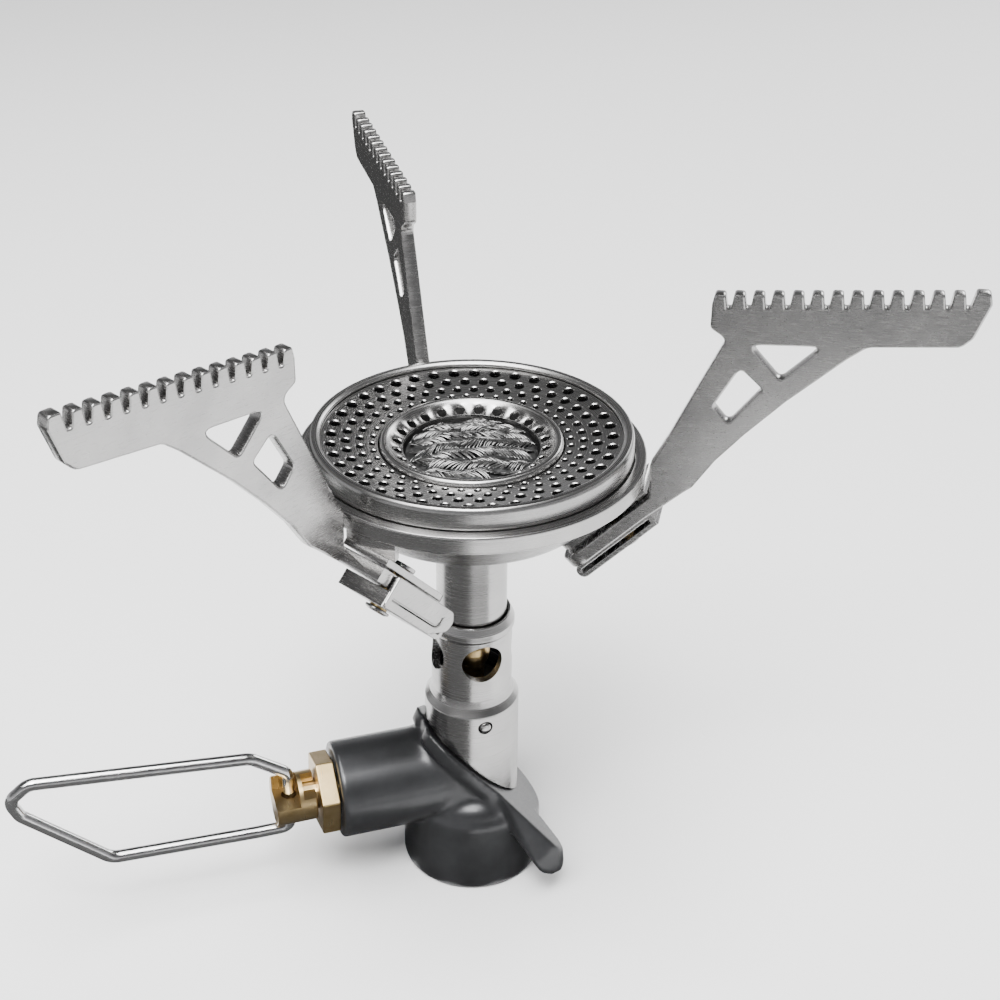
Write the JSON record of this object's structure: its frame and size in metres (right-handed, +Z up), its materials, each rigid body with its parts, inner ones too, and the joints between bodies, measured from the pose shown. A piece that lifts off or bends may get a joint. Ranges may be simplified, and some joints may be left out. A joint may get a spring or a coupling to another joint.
{
  "type": "canister stove",
  "caption": "Compact screw-on gas canister stove with a perforated burner head, folding toothed pot supports, wire valve handle and short mixing tube.",
  "frame": {"origin": "on the burner axis, at the bottom face of the canister collar, where the stove meets its canister", "axes": "+Z up along the burner axis; the valve spindle and its wire handle point along -X; one pot support points along +Y"},
  "size_m": [0.1515, 0.1189, 0.1215],
  "materials": {
    "satin_steel": "satin",
    "polished_wire": "polished",
    "dark_cast_alloy": "satin dark grey",
    "brass": "machined",
    "black_rubber": "matt",
    "steel_gauze": "knitted wire"
  },
  "bodies": {
    "stove_body": {"valve_body": "dark_cast_alloy", "thread_insert": "brass", "inlet_pin": "brass", "gland_nut": "brass", "jet": "brass", "pivot_rivet_1": "brass", "pivot_rivet_2": "brass", "pivot_rivet_3": "brass", "canister_seal": "black_rubber", "gland_seal": "black_rubber", "inlet_filter": "steel_gauze", "mesh_dome": "steel_gauze", "air_sleeve": "satin_steel", "retaining_pin_1": "satin_steel", "retaining_pin_2": "satin_steel", "mixing_tube": "satin_steel", "burner_cup": "satin_steel", "burner_cap": "satin_steel", "burner_plate": "satin_steel", "flame_ring": "satin_steel", "support_ring": "satin_steel"},
    "needle_carrier": {"needle": "satin_steel"},
    "spindle_body": {"spindle_knob": "brass", "spindle_stem": "brass", "spindle_seal": "black_rubber"},
    "handle": {"handle_wire": "polished_wire"},
    "arm_1": {"pot_support_1": "satin_steel", "spring_clip_1": "satin_steel"},
    "arm_2": {"pot_support_2": "satin_steel", "spring_clip_2": "satin_steel"},
    "arm_3": {"pot_support_3": "satin_steel", "spring_clip_3": "satin_steel"}
  },
  "joints": [
    {"name": "needle_feed", "type": "slide", "parent": "stove_body", "child": "needle_carrier", "axis": [-1, 0, 0], "range_m": [0, 0.00112]},
    {"name": "valve_turn", "type": "hinge", "parent": "needle_carrier", "child": "spindle_body", "pos_m": [-0.0344, 0, 0.0193], "axis": [-1, 0, 0], "range_deg": [0, 540]},
    {"name": "handle_swing", "type": "hinge", "parent": "spindle_body", "child": "handle", "pos_m": [-0.0344, 0, 0.0193], "axis": [0, 0, 1], "range_deg": [-90, 90]},
    {"name": "arm_fold_1", "type": "hinge", "parent": "stove_body", "child": "arm_1", "pos_m": [-0.005, 0.02392, 0.07256], "axis": [0, -0.7254, 0.6884], "range_deg": [0, 180]},
    {"name": "arm_fold_2", "type": "hinge", "parent": "stove_body", "child": "arm_2", "pos_m": [-0.01821, -0.01629, 0.07256], "axis": [0.6282, 0.3627, 0.6884], "range_deg": [0, 180]},
    {"name": "arm_fold_3", "type": "hinge", "parent": "stove_body", "child": "arm_3", "pos_m": [0.02321, -0.00763, 0.07256], "axis": [-0.6282, 0.3627, 0.6884], "range_deg": [0, 180]}
  ],
  "couplings": [
    {"joint": "needle_feed", "follows": "valve_turn", "m_per_rad": 0.00011937}
  ]
}
